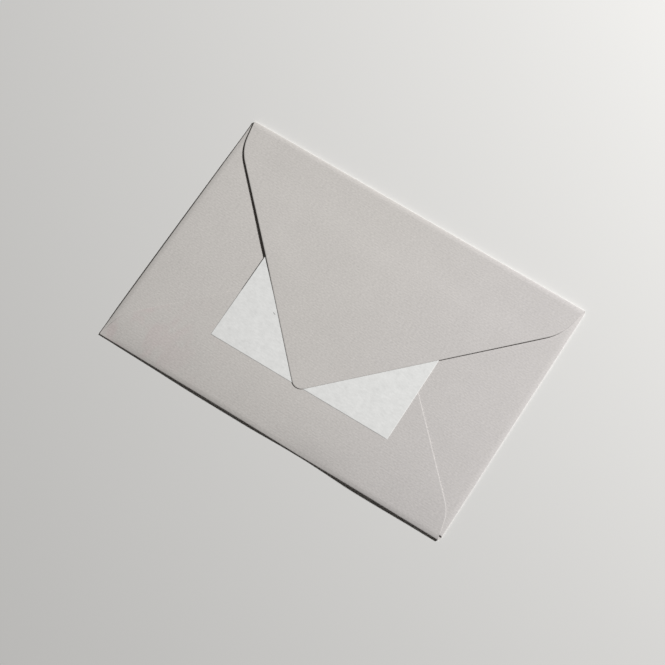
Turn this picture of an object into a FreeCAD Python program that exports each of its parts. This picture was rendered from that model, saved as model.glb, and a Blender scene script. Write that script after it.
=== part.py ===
import FreeCAD, Part
import math
import os

from FreeCAD import Vector

# A pointed-flap envelope lying on its front panel, a white slip of paper tucked under its closing flap.
# X runs along the envelope, Y up to the fold of the closing flap and Z up, all in millimetres.
# The origin is the middle of the front panel, on the face that the envelope lies on.

# The folded envelope, of the C6 size
envelope_length = 162.0
envelope_height = 114.0
paper = 0.16                  # thickness of the sheet
pocket_gap = 0.22             # clear height that the side folds leave inside the pocket
closure_clearance = 0.24      # air between the side flaps and the closing flap, at its fold

# Closing flap
closure_tip_depth = 90.7      # from its fold to its rounded tip
closure_tip_radius = 4.0
closure_fold_inset = 0.4      # from the envelope's end to the end of the fold
closure_tip_offset = 0.6      # how far the tip is cut left of the fold's middle
closure_slant = 10.8          # degrees that its short sides lean inwards
closure_shoulder_depth = 13.7
closure_shoulder_radius = 21.0

# Bottom flap, glued over the two side flaps up to its tip, which springs up a little
bottom_tip_depth = 86.5
bottom_tip_radius = 8.0
bottom_tip_lift = 0.65
bottom_fold_inset_left = 0.15
bottom_fold_inset_right = 0.8
bottom_slant = 12.0
bottom_shoulder_depth = 11.7
bottom_shoulder_radius = 16.0

# Side flaps, whose folds stop a little short of the fold below, the right one more than the left
side_tip_depth = 54.6
side_tip_radius = 6.0
side_fold_inset_top = 1.0
side_fold_inset_left = 0.6
side_fold_inset_right = 2.0
side_slant = 10.0
side_shoulder_depth = 3.0
side_shoulder_radius = 4.0

# White slip, lying on the bottom flap
slip_length = 84.2
slip_width = 55.0
slip_thickness = 0.10
slip_shift = -0.45            # its middle, along the envelope
slip_turn = 0.2               # degrees that it lies out of square
tip_past_slip = 0.8           # how far the closing flap's tip reaches past the slip

half_length = envelope_length / 2
half_height = envelope_height / 2

# Underside of each layer where it lies flat, from the front panel up
side_flap_z = paper + pocket_gap
bottom_flap_z = side_flap_z + paper
slip_z = bottom_flap_z + paper
closure_fold_z = side_flap_z + paper + closure_clearance

# Outer radius of each fold, half of the height that the fold spans
side_fold_radius = (side_flap_z + paper) / 2
bottom_fold_radius = (bottom_flap_z + paper) / 2
closure_fold_radius = (closure_fold_z + paper) / 2

# The bottom flap's free tip starts past the tips of the side flaps and climbs evenly
bottom_tip_y = bottom_tip_depth - half_height
free_tip_y = side_tip_radius
free_tip_slope = bottom_tip_lift / (bottom_tip_y - free_tip_y)

# The slip lies on its lower edge and on the free tip
turn = math.radians(slip_turn)
slip_reach = (slip_width * math.cos(turn) + slip_length * abs(math.sin(turn))) / 2
slip_middle_y = half_height - closure_tip_depth + tip_past_slip + slip_width / 2
slip_low_y = slip_middle_y - slip_reach
slip_high_y = slip_middle_y + slip_reach
slip_rest_y = min(slip_high_y, bottom_tip_y)
slip_rise = free_tip_slope * max(slip_rest_y - free_tip_y, 0)
slip_slope = slip_rise / (slip_rest_y - slip_low_y)

# The closing flap climbs from its fold to a crest, and from there slopes down on the slip to its tip
closure_low_z = slip_z + slip_thickness * math.hypot(1, slip_slope)
slope_over_tip = (slip_z + bottom_tip_lift - closure_low_z) / (bottom_tip_y - slip_low_y)
closure_slope = max(slip_slope, slope_over_tip)
crest_y = max(slip_high_y, bottom_tip_y)
crest_z = closure_low_z + closure_slope * (crest_y - slip_low_y)


# The arc that rounds one corner of an outline, as its start, middle and end
def rounded_corner(before, here, after, radius):
    if radius == 0:
        return here, None, here
    back = (before - here).normalize()
    ahead = (after - here).normalize()
    half_angle = back.getAngle(ahead) / 2
    reach = radius / math.tan(half_angle)
    to_centre = (back + ahead).normalize()
    middle = here + to_centre * (radius / math.sin(half_angle) - radius)
    return here + back * reach, middle, here + ahead * reach


# A closed flat outline through corners (u, v, radius)
def rounded_outline(corners):
    points = [Vector(u, v, 0) for u, v, radius in corners]
    radii = [radius for u, v, radius in corners]
    count = len(corners)
    rounded = []
    for i in range(count):
        rounded.append(rounded_corner(points[i - 1], points[i], points[(i + 1) % count], radii[i]))
    edges = []
    for i, (start, middle, end) in enumerate(rounded):
        if middle is not None:
            edges.append(Part.Arc(start, middle, end).toShape())
        next_start = rounded[(i + 1) % count][0]
        edges.append(Part.LineSegment(end, next_start).toShape())
    return Part.Wire(edges)


# Corners of a flap: u runs along its fold and v from the fold to the tip.
# The long edges run from the shoulders and touch the circle that rounds the tip.
def flap_corners(fold_start, fold_end, tip_u, tip_depth, tip_radius, slant, shoulder_depth, shoulder_radius):
    lean = shoulder_depth * math.tan(math.radians(slant))
    half_width = (fold_end - fold_start) / 2 - lean
    to_tip_centre = tip_depth - tip_radius - shoulder_depth
    edge_angle = math.atan2(half_width, to_tip_centre)
    edge_angle -= math.asin(tip_radius / math.hypot(half_width, to_tip_centre))
    sharp_tip = shoulder_depth + half_width / math.tan(edge_angle)
    return [
        (fold_start, -paper, 0),
        (fold_end, -paper, 0),
        (fold_end, 0, 0),
        (fold_end - lean, shoulder_depth, shoulder_radius),
        (tip_u, sharp_tip, tip_radius),
        (fold_start + lean, shoulder_depth, shoulder_radius),
        (fold_start, 0, 0),
    ]


# Straight edges through points (v, z), in the plane across a fold
def straight_run(points):
    edges = []
    for (start_v, start_z), (end_v, end_z) in zip(points, points[1:]):
        edges.append(Part.LineSegment(Vector(0, start_v, start_z), Vector(0, end_v, end_z)).toShape())
    return edges


# Two equal arcs that climb from one level to another, in the plane across a fold
def climb(start_v, start_z, end_v, end_z):
    run = end_v - start_v
    angle = 2 * math.atan2(end_z - start_z, run)
    radius = run / 2 / math.sin(angle)
    half_step = Vector(0, radius * math.sin(angle / 2), radius * (1 - math.cos(angle / 2)))
    start = Vector(0, start_v, start_z)
    end = Vector(0, end_v, end_z)
    middle = (start + end) * 0.5
    return [
        Part.Arc(start, start + half_step, middle).toShape(),
        Part.Arc(middle, end - half_step, end).toShape(),
    ]


# Section of a fold and its flap. The sheet leaves the front panel, turns back through the bend,
# and its underside then follows the given edges, with its upper side one thickness higher.
def fold_section(radius, underside):
    top = 2 * radius
    outer_bend = Part.Arc(Vector(0, radius, 0), Vector(0, 0, radius), Vector(0, radius, top))
    inner_bend = Part.Arc(Vector(0, radius, top - paper), Vector(0, paper, radius), Vector(0, radius, paper))
    upper_side = []
    for edge in underside:
        raised = edge.copy()
        raised.translate(Vector(0, 0, paper))
        upper_side.append(raised)
    last = underside[-1].Vertexes[-1].Point
    cut_end = Part.LineSegment(last, last + Vector(0, 0, paper)).toShape()
    root = Part.LineSegment(Vector(0, radius, paper), Vector(0, radius, 0)).toShape()
    bends = [outer_bend.toShape(), inner_bend.toShape()]
    edges = bends + upper_side + underside + [cut_end, root]
    return Part.Face(Part.Wire(Part.sortEdges(edges)[0]))


# A flap with its fold: the section drawn out along the fold, then cut to the flap's outline
def folded_flap(corners, section):
    start = corners[0][0] - paper
    end = corners[1][0] + paper
    section.translate(Vector(start, 0, 0))
    strip = section.extrude(Vector(end - start, 0, 0))
    outline = Part.Face(rounded_outline(corners))
    outline.translate(Vector(0, 0, -paper))
    cutter = outline.extrude(Vector(0, 0, crest_z + 3 * paper))
    return strip.common(cutter)


def make_front_panel():
    length = envelope_length - 2 * side_fold_radius
    height = envelope_height - bottom_fold_radius - closure_fold_radius
    corner = Vector(-length / 2, bottom_fold_radius - half_height, 0)
    return Part.makeBox(length, height, paper, corner)


# The flap on the right, folded in level with the front panel
def make_side_flap(fold_inset_bottom):
    corners = flap_corners(
        fold_inset_bottom - half_height,
        half_height - side_fold_inset_top,
        0,
        side_tip_depth,
        side_tip_radius,
        side_slant,
        side_shoulder_depth,
        side_shoulder_radius,
    )
    far_v = side_tip_depth + paper
    underside = straight_run([(side_fold_radius, side_flap_z), (far_v, side_flap_z)])
    flap = folded_flap(corners, fold_section(side_fold_radius, underside))
    flap.rotate(Vector(0, 0, 0), Vector(0, 0, 1), 90)
    flap.translate(Vector(half_length, 0, 0))
    return flap


def make_bottom_flap():
    corners = flap_corners(
        bottom_fold_inset_left - half_length,
        half_length - bottom_fold_inset_right,
        0,
        bottom_tip_depth,
        bottom_tip_radius,
        bottom_slant,
        bottom_shoulder_depth,
        bottom_shoulder_radius,
    )
    free_tip_v = half_height + free_tip_y
    far_v = bottom_tip_depth + paper
    far_z = bottom_flap_z + free_tip_slope * (far_v - free_tip_v)
    underside = straight_run([
        (bottom_fold_radius, bottom_flap_z),
        (free_tip_v, bottom_flap_z),
        (far_v, far_z),
    ])
    flap = folded_flap(corners, fold_section(bottom_fold_radius, underside))
    flap.translate(Vector(0, -half_height, 0))
    return flap


def make_closing_flap():
    fold_end = half_length - closure_fold_inset
    corners = flap_corners(
        -fold_end,
        fold_end,
        closure_tip_offset,
        closure_tip_depth,
        closure_tip_radius,
        closure_slant,
        closure_shoulder_depth,
        closure_shoulder_radius,
    )
    crest_v = half_height - crest_y
    far_v = closure_tip_depth + paper
    far_z = crest_z - closure_slope * (far_v - crest_v)
    underside = climb(closure_fold_radius, closure_fold_z, crest_v, crest_z)
    underside += straight_run([(crest_v, crest_z), (far_v, far_z)])
    flap = folded_flap(corners, fold_section(closure_fold_radius, underside))
    flap.rotate(Vector(0, 0, 0), Vector(0, 0, 1), 180)
    flap.translate(Vector(0, half_height, 0))
    return flap


# The whole sheet: front panel, side flaps, the bottom flap glued on them, and the closing flap
def make_envelope():
    right_flap = make_side_flap(side_fold_inset_right)
    left_flap = make_side_flap(side_fold_inset_left).mirror(Vector(0, 0, 0), Vector(1, 0, 0))
    flaps = [right_flap, left_flap, make_bottom_flap(), make_closing_flap()]
    sheet = make_front_panel().fuse(flaps).removeSplitter()
    return sheet.Solids[0]


def make_slip():
    corner = Vector(-slip_length / 2, -slip_width / 2, slip_z)
    slip = Part.makeBox(slip_length, slip_width, slip_thickness, corner)
    slip.rotate(Vector(0, 0, 0), Vector(0, 0, 1), slip_turn)
    slip.translate(Vector(slip_shift, slip_middle_y, 0))
    slip.rotate(Vector(0, slip_low_y, slip_z), Vector(1, 0, 0), math.degrees(math.atan(slip_slope)))
    return slip


nodes = {
    "folded_envelope": make_envelope(),
    "white_slip": make_slip(),
}

os.makedirs("parts", exist_ok=True)
for name, shape in nodes.items():
    shape.exportStep(f"parts/{name}.step")
    box = shape.BoundBox
    print(name, "solids", len(shape.Solids), "valid", shape.isValid(), "volume", round(shape.Volume, 2))
    print("  x", round(box.XMin, 3), round(box.XMax, 3), "y", round(box.YMin, 3), round(box.YMax, 3))
    print("  z", round(box.ZMin, 3), round(box.ZMax, 3))
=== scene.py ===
import math

import bmesh
import bpy
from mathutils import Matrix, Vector


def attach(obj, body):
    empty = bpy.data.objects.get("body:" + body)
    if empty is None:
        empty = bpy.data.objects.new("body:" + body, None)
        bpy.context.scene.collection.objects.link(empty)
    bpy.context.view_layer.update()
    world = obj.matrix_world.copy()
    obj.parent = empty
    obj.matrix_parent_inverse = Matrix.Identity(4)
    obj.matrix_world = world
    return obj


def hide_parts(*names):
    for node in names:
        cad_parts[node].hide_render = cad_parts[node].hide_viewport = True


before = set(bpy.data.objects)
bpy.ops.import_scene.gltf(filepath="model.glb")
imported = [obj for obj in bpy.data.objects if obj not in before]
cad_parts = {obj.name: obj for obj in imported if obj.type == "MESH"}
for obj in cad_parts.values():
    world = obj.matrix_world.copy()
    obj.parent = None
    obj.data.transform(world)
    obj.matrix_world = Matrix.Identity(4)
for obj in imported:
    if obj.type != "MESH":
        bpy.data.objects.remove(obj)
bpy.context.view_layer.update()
mm = 0.001
print("frame loaded:", sorted(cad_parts))


# node helpers: a wire is a socket that can be added, multiplied and so on

class Wire:
    def __init__(self, graph, socket):
        self.graph = graph
        self.socket = socket

    def __add__(self, other):
        return self.graph.calc("ADD", self, other)

    def __radd__(self, other):
        return self.graph.calc("ADD", other, self)

    def __sub__(self, other):
        return self.graph.calc("SUBTRACT", self, other)

    def __rsub__(self, other):
        return self.graph.calc("SUBTRACT", other, self)

    def __mul__(self, other):
        return self.graph.calc("MULTIPLY", self, other)

    def __rmul__(self, other):
        return self.graph.calc("MULTIPLY", other, self)

    def __truediv__(self, other):
        return self.graph.calc("DIVIDE", self, other)

    def __rtruediv__(self, other):
        return self.graph.calc("DIVIDE", other, self)

    def __neg__(self):
        return self.graph.calc("MULTIPLY", self, -1.0)

    def atLeast(self, other):
        return self.graph.calc("MAXIMUM", self, other)

    def atMost(self, other):
        return self.graph.calc("MINIMUM", self, other)

    def isAbove(self, other):
        return self.graph.calc("GREATER_THAN", self, other)

    def size(self):
        return self.graph.calc("ABSOLUTE", self)

    def sign(self):
        return self.graph.calc("SIGN", self)

    def sine(self):
        return self.graph.calc("SINE", self)

    def cosine(self):
        return self.graph.calc("COSINE", self)


class Graph:
    def __init__(self, tree):
        self.tree = tree

    def feed(self, socket, value):
        if isinstance(value, Wire):
            self.tree.links.new(value.socket, socket)
        else:
            socket.default_value = value

    # any node: its settings first, then its sockets
    def make(self, kind, settings=None, values=None):
        node = self.tree.nodes.new(kind)
        for name, value in (settings or {}).items():
            setattr(node, name, value)
        for name, value in (values or {}).items():
            self.feed(node.inputs[name], value)
        return node

    def add(self, kind, settings=None, values=None, output=0):
        return Wire(self, self.make(kind, settings, values).outputs[output])

    def calc(self, operation, *values):
        return self.add("ShaderNodeMath", {"operation": operation}, dict(enumerate(values)))

    def parts(self, vector):
        node = self.make("ShaderNodeSeparateXYZ", values={"Vector": vector})
        return [Wire(self, socket) for socket in node.outputs]

    def vector(self, x, y, z):
        return self.add("ShaderNodeCombineXYZ", values={"X": x, "Y": y, "Z": z})

    def scaled(self, vector, factor):
        return self.add("ShaderNodeVectorMath", {"operation": "SCALE"},
                        {"Vector": vector, "Scale": factor})

    # from 0 below low to 1 above high, eased at both ends
    def ease(self, value, low, high, top=1.0):
        return self.add("ShaderNodeMapRange", {"interpolation_type": "SMOOTHSTEP"},
                        {"Value": value, "From Min": low, "From Max": high,
                         "To Min": 0.0, "To Max": top})

    # 1 between full and fade, eased to 0 at start and end
    def band(self, value, start, full, fade, end):
        return self.ease(value, start, full) * (1 - self.ease(value, fade, end))

    # a colour multiplied by a tint, as far as the factor says
    def tinted(self, factor, colour, tint):
        settings = {"data_type": "RGBA", "blend_type": "MULTIPLY", "clamp_factor": True}
        return self.add("ShaderNodeMix", settings, {0: factor, 6: colour, 7: tint}, output=2)

    def noise(self, vector, scale, detail=2.0, roughness=0.5):
        return self.add("ShaderNodeTexNoise", None,
                        {"Vector": vector, "Scale": scale, "Detail": detail,
                         "Roughness": roughness, "Distortion": 0.0})


# what can be changed, in millimetres and degrees

sheet = {
    "length": 162.0,
    "height": 114.0,
    "paper": 0.16,
    "pocketGap": 0.22,
    "closureClearance": 0.24,
    "cutEdge": 0.07,            # thickness left at the cut edge
    "easeWidth": 0.3,           # width over which the cut edge thins
    "cornerReach": (1.2, 3.5),  # this near a corner, along x and y, the edge stays thick
    "lowerNotch": (0.15, -55.5),    # by the lower right corner: past the crease, along it
    "upperNotch": 0.1,          # by the upper right corner: inside both creases
    "cell": 2.2,
    "bendSteps": 8,
    "press": 0.6,               # how wide a pressed fold bulges, as a share of a round one
    "crestSettle": 0.05,        # how far the closing flap settles on what is under it
}
closingFlap = {"foldStart": -80.6, "foldEnd": 80.6,
               "tipPlace": 0.6, "tipDepth": 90.7, "tipRadius": 4.0,
               "slant": 10.8, "shoulderDepth": 13.7, "shoulderRadius": 21.0,
               # the hollow of its left edge: how far along it, how deep, and its radius
               "hollow": (0.45, 0.40, 2500.0)}
bottomFlap = {"foldStart": -80.85, "foldEnd": 80.2,
              "tipPlace": 0.0, "tipDepth": 86.5, "tipRadius": 8.0, "tipLift": 0.35,
              "slant": 12.0, "shoulderDepth": 11.7, "shoulderRadius": 16.0}
rightFlap = {"foldStart": -55.0, "foldEnd": 56.0,
             "tipPlace": 0.0, "tipDepth": 54.6, "tipRadius": 6.0,
             "slant": 10.0, "shoulderDepth": 3.0, "shoulderRadius": 4.0}
leftFlap = dict(rightFlap, foldStart=-56.4)
slip = {
    "length": 84.2,
    "width": 55.0,
    "paper": 0.10,
    "shift": -0.45,
    "turn": 0.2,
    "tipPast": 0.8,             # how far the closing flap's tip reaches past it
    "cutEdge": 0.03,
    "easeWidth": 0.22,
    "flatUnder": True,          # its underside stays flat out to the cut edge
    "cell": 2.2,
}
lie = {
    "waveHeight": 0.125,        # how far the sheet lies off the flat
    "waveSize": 45.0,
    "waveSeed": 3.7,
    "waveFloor": 0.35,          # waves lower than this share are left out
    "edgeLift": 0.22,           # the closing flap's left edge, over the slip's corner
    "edgePlace": -26.3,         # that edge, as a distance towards the flap's right shoulder
    "liftPlace": -41.0,         # where along it the lift is most
    "liftInto": 22.0,           # how far into the flap it is felt
    "liftReach": 27.0,          # how far along the edge
    "liftOnSlip": 0.2,          # share of the lift that stays along the slip
    "liftStep": 10.0,           # half the stretch of edge over which that share comes in
    "puff": 0.16,               # how far the pocket swells inside its folds
    "puffWidth": 10.0,
    "taper": 0.30,              # how far the left edge leans in towards the top
    # where two folds are pinched or spring open: place along the fold, half width, height
    "bottomFold": [(-80.0, 48.0, -0.32), (-33.0, 24.5, 0.08),
                   (17.3, 27.0, -0.37), (43.7, 31.0, 0.17)],
    "leftFold": [(-57.0, 16.0, -0.20), (-15.0, 55.0, 0.07), (50.0, 18.0, -0.14)],
    "openWidth": 12.0,          # how far in from the fold that is felt
    "pinchLimit": 0.20,         # the lowest that it presses a side flap
    "bottomPinchLimit": 0.16,   # and how much lower the bottom flap
    # where the bottom flap bulges behind its fold: place, half width, height
    "bulges": [(-30.0, 38.0, 0.16), (15.0, 40.0, 0.05), (55.0, 32.0, 0.16)],
    "bulgeClimb": 18.0,         # how far in from the fold a bulge is at its full height
    "bulgeFade": (-38.0, 10.0),     # and from where to where it fades
}
mapSpan = 300.0                 # width of the square of flat sheet that the UV map covers
diagonal = 0.7071


# heights of the layers, as they lie

halfLength = sheet["length"] / 2
halfHeight = sheet["height"] / 2
paper = sheet["paper"]
sideZ = paper + sheet["pocketGap"]
bottomZ = sideZ + paper
slipZ = bottomZ + paper
closingZ = bottomZ + sheet["closureClearance"]
bend = {
    "side": (sideZ + paper) / 2,
    "bottom": (bottomZ + paper) / 2,
    "closing": (closingZ + paper) / 2,
}
crease = {
    "side": halfLength - sheet["press"] * bend["side"],
    "bottom": halfHeight - sheet["press"] * bend["bottom"],
    "closing": halfHeight - sheet["press"] * bend["closing"],
}

tipY = bottomFlap["tipDepth"] - halfHeight
freeY = rightFlap["tipRadius"]
tipSlope = bottomFlap["tipLift"] / (tipY - freeY)
slipTurn = math.radians(slip["turn"])
slipReach = (slip["width"] * math.cos(slipTurn) + slip["length"] * math.sin(slipTurn)) / 2
slipY = halfHeight - closingFlap["tipDepth"] + slip["tipPast"] + slip["width"] / 2
slipLow = slipY - slipReach
slipHigh = slipY + slipReach
slipRest = min(slipHigh, tipY)
slipSlope = tipSlope * (slipRest - freeY) / (slipRest - slipLow)
lowZ = slipZ + slip["paper"]
flapSlope = max(slipSlope, (slipZ + bottomFlap["tipLift"] - lowZ) / (tipY - slipLow))
crestY = max(slipHigh, tipY)
crestZ = lowZ + flapSlope * (crestY - slipLow)
print("crest of the closing flap at", round(crestZ + paper, 3), "mm")


# flat outlines

def roundedPath(corners, stepDegrees=5.0):
    path = []
    for i, (x, y, radius) in enumerate(corners):
        here = Vector((x, y))
        if radius == 0:
            path.append(here)
            continue
        back = (Vector(corners[i - 1][:2]) - here).normalized()
        ahead = (Vector(corners[(i + 1) % len(corners)][:2]) - here).normalized()
        halfAngle = back.angle(ahead) / 2
        centre = here + (back + ahead).normalized() * (radius / math.sin(halfAngle))
        first = here + back * (radius / math.tan(halfAngle)) - centre
        turn = math.pi - 2 * halfAngle
        steps = max(2, math.ceil(math.degrees(turn) / stepDegrees))
        way = 1 if back.x * ahead.y - back.y * ahead.x < 0 else -1
        for k in range(steps + 1):
            angle = way * turn * k / steps
            path.append(centre + Vector((first.x * math.cos(angle) - first.y * math.sin(angle),
                                         first.x * math.sin(angle) + first.y * math.cos(angle))))
    return path


# corners of one flap, u along the fold and v past the crease in the flat blank
def flapCorners(flap, bendRadius):
    lean = flap["shoulderDepth"] * math.tan(math.radians(flap["slant"]))
    start, end = flap["foldStart"], flap["foldEnd"]
    halfWidth = (end - start) / 2 - lean
    toTip = flap["tipDepth"] - flap["tipRadius"] - flap["shoulderDepth"]
    tipTurn = math.asin(flap["tipRadius"] / math.hypot(halfWidth, toTip))
    edgeAngle = math.atan2(halfWidth, toTip) - tipTurn
    sharpTip = flap["shoulderDepth"] + halfWidth / math.tan(edgeAngle)
    unrolled = math.pi * (bendRadius - paper / 2) - sheet["press"] * bendRadius
    corners = [
        (start, 0.0, 0),
        (start, unrolled, 0),
        (start + lean, flap["shoulderDepth"] + unrolled, flap["shoulderRadius"]),
        (flap["tipPlace"], sharpTip + unrolled, flap["tipRadius"]),
        (end - lean, flap["shoulderDepth"] + unrolled, flap["shoulderRadius"]),
        (end, unrolled, 0),
        (end, 0.0, 0),
    ]
    if "hollow" in flap:
        # the blank takes the closing flap mirrored, so this edge is its left one there
        share, depth, radius = flap["hollow"]
        shoulder, tip = Vector(corners[4][:2]), Vector(corners[3][:2])
        along = (tip - shoulder).normalized()
        place = shoulder.lerp(tip, share) + Vector((-along.y, along.x)) * depth
        corners.insert(4, (place.x, place.y, radius))
    return corners


# the whole blank, counter-clockwise from the left end of the bottom fold
def blankCorners():
    side, bottom, closing = crease["side"], crease["bottom"], crease["closing"]
    pastSide, lowY = sheet["lowerNotch"]
    inset = sheet["upperNotch"]
    right = [(side + v, u, r) for u, v, r in flapCorners(rightFlap, bend["side"])]
    left = [(-side - v, u, r) for u, v, r in reversed(flapCorners(leftFlap, bend["side"]))]
    corners = [(u, -bottom - v, r) for u, v, r in flapCorners(bottomFlap, bend["bottom"])]
    corners += [(side + pastSide, lowY, 0)] + right
    corners += [(side - inset, closing - inset, 0)]
    corners += [(-u, closing + v, r) for u, v, r in flapCorners(closingFlap, bend["closing"])]
    corners += left
    return corners


# the outline and two rings inside it, where the cut edge thins; near a corner it stays thick
def addRings(bm, thin, outline, values):
    flatBand = 0.1          # a narrow ring past the thinned edge keeps the shading flat beyond it
    reachX, reachY = values.get("cornerReach", (0.0, 0.0))
    count = len(outline)
    outer = [bm.verts.new((p.x, p.y, 0)) for p in outline]
    rings = [outer]
    bare = set()
    for i in range(count):
        x, y = outline[i]
        if abs(abs(x) - halfLength) < reachX and abs(abs(y) - halfHeight) < reachY:
            bare.add(i)
        else:
            outer[i][thin] = 1.0
    for depth in (values["easeWidth"], values["easeWidth"] + flatBand):
        ring = []
        for i, here in enumerate(outline):
            if i in bare:
                ring.append(rings[-1][i])
                continue
            along = (outline[(i + 1) % count] - outline[i - 1]).normalized()
            inside = here + Vector((-along.y, along.x)) * depth
            ring.append(bm.verts.new((inside.x, inside.y, 0)))
        rings.append(ring)
    for first, second in zip(rings, rings[1:]):
        for i in range(count):
            j = (i + 1) % count
            corners = []
            for vert in (first[i], first[j], second[j], second[i]):
                if vert not in corners:
                    corners.append(vert)
            if len(corners) > 2:
                bm.faces.new(corners)
    bm.faces.new(rings[-1])


# the sheet is cut into cells, so that it can bend
def cutCells(bm, linesX, linesY):
    cutDistance = 0.0005
    mergeDistance = 0.002
    for axis, lines in ((0, linesX), (1, linesY)):
        for place in lines:
            point = Vector((0, 0, 0))
            normal = Vector((0, 0, 0))
            point[axis] = place
            normal[axis] = 1
            everything = bm.verts[:] + bm.edges[:] + bm.faces[:]
            bmesh.ops.bisect_plane(bm, geom=everything, dist=cutDistance,
                                   plane_co=point, plane_no=normal)
    bmesh.ops.remove_doubles(bm, verts=bm.verts[:], dist=mergeDistance)


# the flat face becomes a closed slab that thins towards the cut edge
def thicken(bm, thin, values):
    half = values["paper"] / 2
    lostAbove = half - values["cutEdge"] / 2
    lostBelow = lostAbove
    if values.get("flatUnder"):
        lostAbove, lostBelow = 2 * lostAbove, 0.0
    lower = bm.verts[:]
    made = bmesh.ops.extrude_face_region(bm, geom=bm.faces[:], use_keep_orig=True)
    for vert in made["geom"]:
        if isinstance(vert, bmesh.types.BMVert):
            vert.co.z = half - lostAbove * vert[thin]
    for vert in lower:
        vert.co.z = lostBelow * vert[thin] - half
    bmesh.ops.recalc_face_normals(bm, faces=bm.faces[:])
    bm.normal_update()


# a flat slab of paper, with a UV map of the sheet
def paperSlab(name, outline, values, linesX, linesY):
    sharpAngle = math.radians(40)
    bm = bmesh.new()
    thin = bm.verts.layers.float.new("thin")
    addRings(bm, thin, outline, values)
    cutCells(bm, linesX, linesY)
    thicken(bm, thin, values)
    uv = bm.loops.layers.uv.new("sheet")
    for face in bm.faces:
        face.smooth = True
        for loop in face.loops:
            loop[uv].uv = (loop.vert.co.x / mapSpan + 0.5, loop.vert.co.y / mapSpan + 0.5)
    for edge in bm.edges:
        edge.smooth = len(edge.link_faces) == 2 and edge.calc_face_angle(0) < sharpAngle
    bmesh.ops.scale(bm, vec=(mm, mm, mm), verts=bm.verts[:])
    mesh = bpy.data.meshes.new(name)
    bm.to_mesh(mesh)
    bm.free()
    piece = bpy.data.objects.new(name, mesh)
    bpy.context.scene.collection.objects.link(piece)
    print(name, "cut flat:", len(mesh.polygons), "faces")
    return piece


def spaced(low, high, step):
    count = max(1, round((high - low) / step))
    return [low + (high - low) * i / count for i in range(count + 1)]


# grid lines: even cells, and close ones through a bend
def foldLines(lowCrease, lowBend, lowEnd, highCrease, highBend, highEnd):
    lowArc = math.pi * (lowBend - paper / 2)
    highArc = math.pi * (highBend - paper / 2)
    steps = sheet["bendSteps"]
    lines = spaced(-lowEnd, -lowCrease - lowArc, sheet["cell"])[1:]
    lines += spaced(-lowCrease - lowArc, -lowCrease, lowArc / steps)[1:]
    lines += spaced(-lowCrease, highCrease, sheet["cell"])[1:]
    lines += spaced(highCrease, highCrease + highArc, highArc / steps)[1:]
    lines += spaced(highCrease + highArc, highEnd, sheet["cell"])[1:-1]
    return lines


# how a sheet lies: the same small waves for every layer, so that none cuts another

def addWaves(g, x, y):
    place = g.vector(x / (lie["waveSize"] * mm), y / (lie["waveSize"] * mm), lie["waveSeed"])
    wave = g.noise(place, 1.0, detail=1.0) - lie["waveFloor"]
    return wave.atLeast(0.0) * (lie["waveHeight"] * mm)


# smooth bumps and dips along a fold
def bumpsAlong(g, along, bumps):
    total = along * 0.0
    for place, halfWidth, height in bumps:
        t = (along - place * mm) / (halfWidth * mm)
        bump = (1 - t * t).atLeast(0.0)
        total = total + bump * bump * (height * mm)
    return total


# they fade within a short way of the fold
def addOpening(g, along, inside, bumps):
    near = (1 - inside / (lie["openWidth"] * mm)).atLeast(0.0).atMost(1.0)
    return bumpsAlong(g, along, bumps) * near * near


# the bottom flap bulges just inside its fold
def addBulge(g, x, y):
    inside = (y + halfHeight * mm).atLeast(0.0)
    climb = (1 - inside / (lie["bulgeClimb"] * mm)).atLeast(0.0)
    fadeLow, fadeHigh = lie["bulgeFade"]
    fade = 1 - g.ease(y, fadeLow * mm, fadeHigh * mm)
    return bumpsAlong(g, x, lie["bulges"]) * (1 - climb * climb) * fade


# the pocket's upper layers swell a little inside the folds at its sides and bottom
def addPuff(g, x, y):
    width = lie["puffWidth"] * mm
    acrossEdge = ((halfLength * mm - x.size()) / width).atMost(1.0)
    upEdge = ((halfHeight * mm + y) / width).atMost(1.0)
    across = 1 - (1 - acrossEdge) * (1 - acrossEdge)
    up = 1 - (1 - upEdge) * (1 - upEdge)
    return across * up * (lie["puff"] * mm)


# what lies over the front panel follows the pocket's swelling and the pinched folds
def addSwell(g, x, y, bottomTurned):
    swell = addPuff(g, x, y) + addBulge(g, x, y)
    swell = swell + addOpening(g, x, y + halfHeight * mm, lie["bottomFold"])
    swell = swell + addOpening(g, y, x + halfLength * mm, lie["leftFold"])
    return swell.atLeast(bottomTurned * (-lie["bottomPinchLimit"] * mm) - lie["pinchLimit"] * mm)


# the closing flap's left edge stands off the slip's corner, and a share of that goes on along it
def addEdgeLift(g, x, y):
    place, step, stays = lie["liftPlace"] * mm, lie["liftStep"] * mm, lie["liftOnSlip"]
    alongEdge = (x - y) * diagonal
    intoFlap = (x + y) * diagonal - lie["edgePlace"] * mm
    nearEdge = g.ease(-intoFlap, -lie["liftInto"] * mm, 0.0)
    nearCorner = g.ease(-(alongEdge - place).size(), -lie["liftReach"] * mm, 0.0)
    onSlip = g.ease(alongEdge, place - step, place + step)
    return nearEdge * (nearCorner * (1 - stays) + onSlip * stays)


# Geometry Nodes: fold the flat blank along its four creases

def newTree(name, floats):
    tree = bpy.data.node_groups.new(name, "GeometryNodeTree")
    tree.interface.new_socket("Geometry", in_out="INPUT", socket_type="NodeSocketGeometry")
    for label in floats:
        tree.interface.new_socket(label, in_out="INPUT", socket_type="NodeSocketFloat")
    tree.interface.new_socket("Material", in_out="INPUT", socket_type="NodeSocketMaterial")
    tree.interface.new_socket("Geometry", in_out="OUTPUT", socket_type="NodeSocketGeometry")
    g = Graph(tree)
    entry = g.make("NodeGroupInput")
    wires = {socket.name: Wire(g, socket) for socket in entry.outputs if socket.name}
    return g, wires


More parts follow.
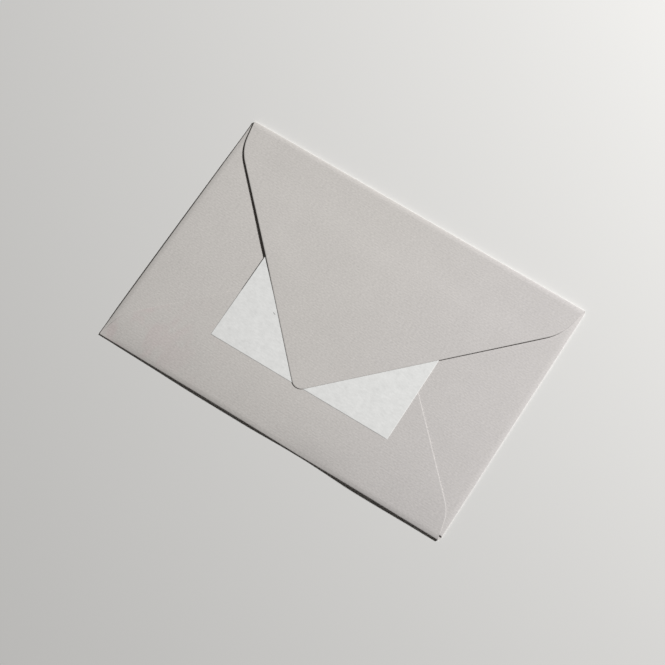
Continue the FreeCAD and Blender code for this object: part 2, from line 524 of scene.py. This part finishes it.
def closeTree(g, wires, x, y, z):
    moved = g.add("GeometryNodeSetPosition", None,
                  {"Geometry": wires["Geometry"], "Position": g.vector(x, y, z)})
    plain = g.add("GeometryNodeRealizeInstances", None, {"Geometry": moved})
    dressed = g.add("GeometryNodeSetMaterial", None,
                    {"Geometry": plain, "Material": wires["Material"]})
    g.make("NodeGroupOutput", None, {"Geometry": dressed})
    return g.tree


# past a crease the sheet turns through half a circle and runs back
def turnBack(g, past, radius, level):
    past = past.atLeast(0.0)
    turn = (past / radius).atMost(math.pi)
    arm = radius - level
    out = arm * turn.sine() * sheet["press"] - (past - radius * math.pi).atLeast(0.0)
    turned = (1 - turn.cosine()) / 2
    return out, arm * turned * 2, turned


def foldTree():
    g, wires = newTree("foldBlank", [
        "Paper", "Side crease", "Side bend", "Bottom crease", "Bottom bend", "Closing crease",
        "Closing bend", "Tip slope", "Crest", "Flap slope", "Edge lift",
    ])
    x, y, level = g.parts(g.add("GeometryNodeInputPosition"))
    pastSide = x.size() - wires["Side crease"]
    pastBottom = -y - wires["Bottom crease"]
    pastClosing = y - wires["Closing crease"]
    sideOut, sideRise, sideTurned = turnBack(g, pastSide, wires["Side bend"], level)
    bottomOut, bottomRise, bottomTurned = turnBack(g, pastBottom, wires["Bottom bend"], level)
    closingOut, closingRise, closingTurned = turnBack(g, pastClosing, wires["Closing bend"], level)
    foldedX = x.sign() * (x.size().atMost(wires["Side crease"]) + sideOut)
    betweenCreases = y.atMost(wires["Closing crease"]).atLeast(-wires["Bottom crease"])
    foldedY = betweenCreases + closingOut - bottomOut
    z = wires["Paper"] / 2 + level + sideRise + bottomRise + closingRise
    # the bottom flap's tip springs up; the closing flap climbs over it and lies down on the slip
    onBottom = (-y).isAbove(wires["Bottom crease"])
    onClosing = y.isAbove(wires["Closing crease"])
    tipLift = (foldedY - freeY * mm).atLeast(0.0) * wires["Tip slope"]
    climb = g.ease(-foldedY, -wires["Closing crease"], -crestY * mm, wires["Crest"])
    fall = (crestY * mm - foldedY).atLeast(0.0) * wires["Flap slope"]
    edgeLift = addEdgeLift(g, foldedX, foldedY) * wires["Edge lift"]
    z = z + onBottom * tipLift + onClosing * (climb - fall + edgeLift)
    turned = sideTurned + bottomTurned + closingTurned
    swell = turned * addSwell(g, foldedX, foldedY, bottomTurned)
    leanRate = lie["taper"] / halfLength / sheet["height"] / mm
    lean = (-foldedX).atLeast(0.0) * (foldedY + halfHeight * mm) * leanRate
    return closeTree(g, wires, foldedX + lean, foldedY, z + addWaves(g, foldedX, foldedY) + swell)


def slipTree():
    g, wires = newTree("laySlip", ["Height", "Slope", "Low edge"])
    x, y, level = g.parts(g.add("GeometryNodeInputPosition"))
    z = wires["Height"] + level + (y - wires["Low edge"]) * wires["Slope"]
    return closeTree(g, wires, x, y, z + addWaves(g, x, y) + addPuff(g, x, y) + addBulge(g, x, y))


# the modifier's result as a plain mesh
def shaped(piece, tree, inputs):
    modifier = piece.modifiers.new("shape", "NODES")
    modifier.node_group = tree
    for item in tree.interface.items_tree:
        if item.in_out == "INPUT" and item.name in inputs:
            modifier[item.identifier] = inputs[item.name]
    bpy.context.view_layer.update()
    graph = bpy.context.evaluated_depsgraph_get()
    mesh = bpy.data.meshes.new_from_object(piece.evaluated_get(graph))
    piece.modifiers.remove(modifier)
    piece.data = mesh
    return piece


# materials, in millimetres from the middle of the flat sheet

# each pattern reads its own level of the noise, so that none repeats another
noiseLevel = {"grain": 0.0, "wander": 2.0, "cloud": 5.0, "broad": 9.0, "patches": 21.0}


# fine grain drawn out a little along the sheet, soft clouds, and laid lines that wander
def paperTexture(g, u, v, look):
    grainPlace = g.vector(u * look["grainStretch"], v, noiseLevel["grain"])
    grain = g.noise(grainPlace, look["grainScale"], detail=3.0, roughness=0.65)
    cloudPlace = g.vector(u, v, noiseLevel["cloud"])
    cloud = g.noise(cloudPlace, look["cloudScale"], detail=3.0, roughness=0.55)
    broad = g.noise(g.vector(u, v, noiseLevel["broad"]), look["broadScale"], detail=1.0)
    shade = 1 + (grain - 0.5) * look["grain"] + (cloud - 0.5) * look["cloud"]
    shade = shade + (broad - 0.5) * look["broad"]
    height = grain * look["grainHeight"] + cloud * look["cloudHeight"]
    if "laid" in look:
        wanderU, wanderV = look["wanderScale"]
        wanderPlace = g.vector(u * wanderU, v * wanderV, noiseLevel["wander"])
        wander = g.noise(wanderPlace, 1.0, detail=1.0) * look["wander"]
        laid = ((v + wander) * (2 * math.pi / look["laidSpacing"])).sine()
        shade = shade + laid * look["laid"]
        height = height + laid * look["laidHeight"]
    return grain, shade, height


# painted shade: a little darker along the folds at the top and bottom, but not by the left-hand
# fold
def paintedFoldShade(g, u, v, fold):
    return g.band(v.size(), *fold["strip"]) * g.ease(u, *fold["startsAt"]) * fold["dark"]


# painted shadow: the closing flap's cut edge is darker, most at its right shoulder; painted
# highlight: the bottom flap's cut edge is lighter
def paintedEdgeShadowAndHighlight(g, u, v, edges):
    cutEdge = g.add("ShaderNodeAttribute", {"attribute_name": "thin"}, output=2)
    upperFlap = g.ease(v, halfHeight, halfHeight + edges["blend"])
    lowerFlap = g.ease(-v, halfHeight, halfHeight + edges["blend"])
    atShoulder = g.ease(u, *edges["shoulder"], top=edges["moreAtShoulder"]) + 1
    # painted highlight on the bottom flap's cut edge, painted shadow on the closing flap's
    lower = lowerFlap * g.ease(u, *edges["highlightStartsAt"]) * edges["light"]
    return cutEdge * (lower - upperFlap * atShoulder * edges["dark"])


# one dark fibre, slightly hooked
def fibreShade(g, u, v, fibre):
    placeU, placeV = fibre["place"]
    turn = math.radians(fibre["turn"])
    along = (u - placeU) * math.cos(turn) + (v - placeV) * math.sin(turn)
    across = (v - placeV) * math.cos(turn) - (u - placeU) * math.sin(turn)
    across = across - along * along * fibre["hook"]
    length = 1 - g.ease(along.size(), *fibre["ends"])
    return length * (1 - g.ease(across.size(), *fibre["sides"])) * fibre["dark"]


# faint warm patches towards the lower left corner of the pocket
def blushFactor(g, u, v, blush):
    nearCorner = g.band(-v, *blush["strip"]) * g.ease(-u, *blush["startsAt"])
    place = g.vector(u, v * blush["stretch"], noiseLevel["patches"])
    patches = g.ease(g.noise(place, blush["scale"], detail=2.0), *blush["patches"])
    return nearCorner * patches * blush["strength"]


def paperMaterial(name, look):
    material = bpy.data.materials.new(name)
    material.use_nodes = True
    material.node_tree.nodes.clear()
    g = Graph(material.node_tree)
    flat = g.scaled(g.add("ShaderNodeUVMap", {"uv_map": "sheet"}), mapSpan)
    u, v = g.parts(flat)[:2]
    u, v = u - mapSpan / 2, v - mapSpan / 2
    grain, shade, height = paperTexture(g, u, v, look)
    # painted shade along the top and bottom folds
    if "paintedFoldShade" in look:
        shade = shade - paintedFoldShade(g, u, v, look["paintedFoldShade"])
    # painted shadow along the closing flap's cut edge, painted highlight along the bottom flap's
    if "paintedEdgeShadowAndHighlight" in look:
        shade = shade + paintedEdgeShadowAndHighlight(g, u, v, look["paintedEdgeShadowAndHighlight"])
    if "fibre" in look:
        shade = shade * (1 - fibreShade(g, u, v, look["fibre"]))
    toned = g.scaled(look["colour"], shade)
    if "paintedCoolLight" in look:
        # painted light: a faint cool cast towards the right-hand fold
        nearFold = 1 - g.ease((halfLength - u).size(), *look["paintedCoolLight"]["fades"])
        toned = g.tinted(nearFold, toned, look["paintedCoolLight"]["tint"])
    if "blush" in look:
        toned = g.tinted(blushFactor(g, u, v, look["blush"]), toned, look["blush"]["tint"])
    bump = g.add("ShaderNodeBump", None, {"Strength": 1.0, "Distance": 1.0, "Height": height * mm})
    shader = g.add("ShaderNodeBsdfPrincipled", None, {
        "Base Color": toned,
        "Roughness": look["roughness"] + (grain - 0.5) * look["roughnessRange"],
        "Normal": bump,
        "Specular IOR Level": look["specular"],
    })
    g.make("ShaderNodeOutputMaterial", None, {"Surface": shader})
    return material


envelopeLook = {
    "colour": (0.62, 0.594, 0.567),
    "grainScale": 1.9,
    "grainStretch": 0.5,
    "grain": 0.53,
    "grainHeight": 0.012,
    "cloudScale": 0.12,
    "cloud": 0.07,
    "cloudHeight": 0.018,
    "broadScale": 0.018,
    "broad": 0.03,
    "laid": 0.016,
    "laidSpacing": 1.1,
    "laidHeight": 0.0008,
    "wander": 0.5,              # how far the laid lines stray
    "wanderScale": (0.1, 0.4),
    "roughness": 0.82,
    "roughnessRange": 0.2,
    "specular": 0.25,
    # painted shade along the top and bottom folds
    "paintedFoldShade": {"dark": 0.032, "strip": (52.0, 56.0, 68.0, 82.0), "startsAt": (-80.0, -62.0)},
    # painted shadow along the closing flap's cut edge, painted highlight along the bottom flap's
    "paintedEdgeShadowAndHighlight": {"blend": 3.0, "dark": 0.10, "shoulder": (62.0, 74.0), "moreAtShoulder": 1.5,
                  "light": 0.12, "highlightStartsAt": (0.0, 20.0)},
    # painted light: a faint cool cast by the right-hand fold
    "paintedCoolLight": {"tint": (0.998, 0.997, 1.02, 1.0), "fades": (6.0, 101.0)},
    "blush": {"tint": (1.0, 0.94, 0.955, 1.0), "strength": 0.8,
              "strip": (52.0, 56.0, 76.0, 98.0), "startsAt": (20.0, 75.0),
              "scale": 0.16, "stretch": 0.6, "patches": (0.45, 0.62)},
}
slipLook = {
    "colour": (0.83, 0.833, 0.821),
    "grainScale": 1.2,
    "grainStretch": 0.5,
    "grain": 0.23,
    "grainHeight": 0.015,
    "cloudScale": 0.35,
    "cloud": 0.18,
    "cloudHeight": 0.0225,
    "broadScale": 0.018,
    "broad": 0.03,
    "roughness": 0.82,
    "roughnessRange": 0.2,
    "specular": 0.25,
    "fibre": {"place": (-25.6, -11.8), "turn": -20.0, "hook": 0.25, "dark": 0.75,
              "ends": (0.525, 0.75), "sides": (0.05, 0.15)},
}
envelopePaper = paperMaterial("envelopePaper", envelopeLook)
slipPaper = paperMaterial("slipPaper", slipLook)
print("paper materials made")


# the folded envelope

linesX = foldLines(crease["side"], bend["side"], halfLength + rightFlap["tipDepth"],
                   crease["side"], bend["side"], halfLength + rightFlap["tipDepth"])
linesY = foldLines(crease["bottom"], bend["bottom"], halfHeight + bottomFlap["tipDepth"],
                   crease["closing"], bend["closing"], halfHeight + closingFlap["tipDepth"])
envelope = paperSlab("foldedEnvelope", roundedPath(blankCorners()), sheet, linesX, linesY)
shaped(envelope, foldTree(), {
    "Paper": paper * mm,
    "Side crease": crease["side"] * mm,
    "Side bend": (bend["side"] - paper / 2) * mm,
    "Bottom crease": crease["bottom"] * mm,
    "Bottom bend": (bend["bottom"] - paper / 2) * mm,
    "Closing crease": crease["closing"] * mm,
    "Closing bend": (bend["closing"] - paper / 2) * mm,
    "Tip slope": tipSlope,
    "Crest": (crestZ - closingZ - sheet["crestSettle"]) * mm,
    "Flap slope": flapSlope,
    "Edge lift": lie["edgeLift"] * mm,
    "Material": envelopePaper,
})
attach(envelope, "root")
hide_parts("folded_envelope")
print("envelope folded:", len(envelope.data.polygons), "faces")


# the white slip

slipX = slip["shift"]
halfSlip = (slip["length"] / 2, slip["width"] / 2)
slipOutline = []
for cornerX, cornerY in ((-1, -1), (1, -1), (1, 1), (-1, 1)):
    corner = Vector((cornerX * halfSlip[0], cornerY * halfSlip[1]))
    turnedX = corner.x * math.cos(slipTurn) - corner.y * math.sin(slipTurn)
    turnedY = corner.x * math.sin(slipTurn) + corner.y * math.cos(slipTurn)
    slipOutline.append(Vector((turnedX + slipX, turnedY + slipY)))
slipLinesX = spaced(slipX - halfSlip[0], slipX + halfSlip[0], slip["cell"])[1:-1]
slipLinesY = spaced(slipLow, slipHigh, slip["cell"])[1:-1]
whiteSlip = paperSlab("whiteSlip", slipOutline, slip, slipLinesX, slipLinesY)
shaped(whiteSlip, slipTree(), {
    "Height": (slipZ + slip["paper"] / 2) * mm,
    "Slope": slipSlope,
    "Low edge": slipLow * mm,
    "Material": slipPaper,
})
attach(whiteSlip, "root")
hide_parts("white_slip")
print("slip laid:", len(whiteSlip.data.polygons), "faces")


# floor, light and camera

ground = {"colour": (0.74, 0.735, 0.72, 1.0), "roughness": 0.9, "reach": 2.0}
light = {"bearing": 55.0, "rise": 30.5, "distance": 1.5, "size": 0.185, "power": 37.3,
         "aim": (-0.55, 0.0, 0.0), "fill": (1.0, 0.93, 0.86, 1.0), "fillStrength": 0.05}
view = {"lens": 113.34, "sensor": 36.0, "near": 0.01,
        "place": (0.16928, -0.25868, 0.79303), "turn": (21.0412, 0.5335, 32.6083)}

reach = ground["reach"]
floorMesh = bpy.data.meshes.new("floor")
floorCorners = [(-reach, -reach, 0), (reach, -reach, 0), (reach, reach, 0), (-reach, reach, 0)]
floorMesh.from_pydata(floorCorners, [], [(0, 1, 2, 3)])
floor = bpy.data.objects.new("floor", floorMesh)
bpy.context.scene.collection.objects.link(floor)
floorMaterial = bpy.data.materials.new("paleFloor")
floorMaterial.use_nodes = True
floorShader = floorMaterial.node_tree.nodes["Principled BSDF"]
floorShader.inputs["Base Color"].default_value = ground["colour"]
floorShader.inputs["Roughness"].default_value = ground["roughness"]
floorMesh.materials.append(floorMaterial)


def aimed(thing, place, target):
    thing.location = place
    thing.rotation_euler = (Vector(target) - Vector(place)).to_track_quat("-Z", "Y").to_euler()


keyData = bpy.data.lights.new("key", "AREA")
keyData.shape = "DISK"
keyData.size = light["size"]
keyData.energy = light["power"]
key = bpy.data.objects.new("key", keyData)
bpy.context.scene.collection.objects.link(key)
bearing, rise = math.radians(light["bearing"]), math.radians(light["rise"])
towards = (math.cos(rise) * math.cos(bearing), math.cos(rise) * math.sin(bearing), math.sin(rise))
aimed(key, [light["distance"] * part for part in towards], light["aim"])

world = bpy.data.worlds.new("studio")
world.use_nodes = True
background = world.node_tree.nodes["Background"]
background.inputs["Color"].default_value = light["fill"]
background.inputs["Strength"].default_value = light["fillStrength"]
bpy.context.scene.world = world

cameraData = bpy.data.cameras.new("camera")
cameraData.lens = view["lens"]
cameraData.sensor_width = view["sensor"]
cameraData.clip_start = view["near"]
camera = bpy.data.objects.new("camera", cameraData)
camera.location = view["place"]
camera.rotation_euler = [math.radians(angle) for angle in view["turn"]]
bpy.context.scene.collection.objects.link(camera)
bpy.context.scene.camera = camera
bpy.context.scene.view_settings.view_transform = "Standard"
print("stage set")
